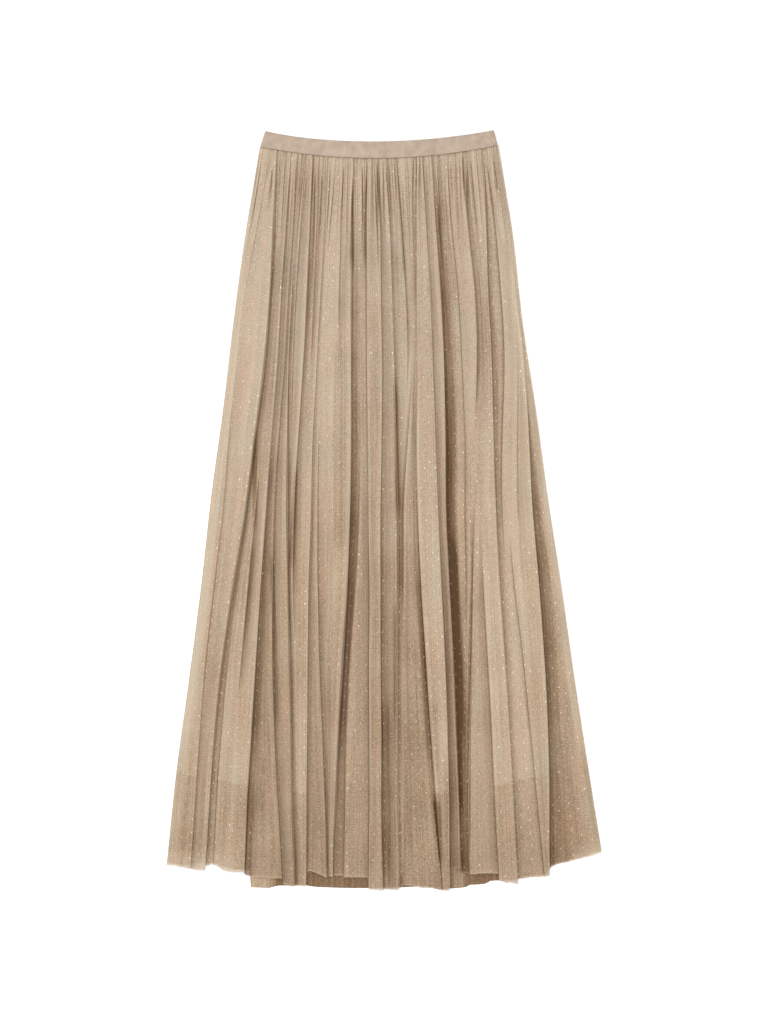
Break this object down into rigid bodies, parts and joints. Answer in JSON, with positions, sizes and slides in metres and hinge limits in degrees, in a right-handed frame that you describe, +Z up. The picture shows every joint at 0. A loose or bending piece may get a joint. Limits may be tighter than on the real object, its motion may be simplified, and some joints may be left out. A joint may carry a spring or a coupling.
{
  "type": "tulle maxi skirt",
  "caption": "Long gathered tulle skirt laid flat, with a plain satin waistband and a shorter plain lining under the net.",
  "frame": {"origin": "centre of the laid-out skirt's outline, on the surface it lies on", "axes": "+Y towards the waistband along the skirt's length, +X towards the picture's right, +Z up out of the skirt's front"},
  "size_m": [0.6032, 1.0542, 0.021],
  "materials": {
    "waistband_satin": "soft satin",
    "tulle": "matte net with small glitter dots",
    "lining_satin": "soft satin"
  },
  "bodies": {
    "root": {"waistband_front": "waistband_satin", "waistband_back": "waistband_satin", "tulle_front": "tulle", "tulle_back": "tulle", "lining_front": "lining_satin", "lining_back": "lining_satin"}
  },
  "joints": []
}
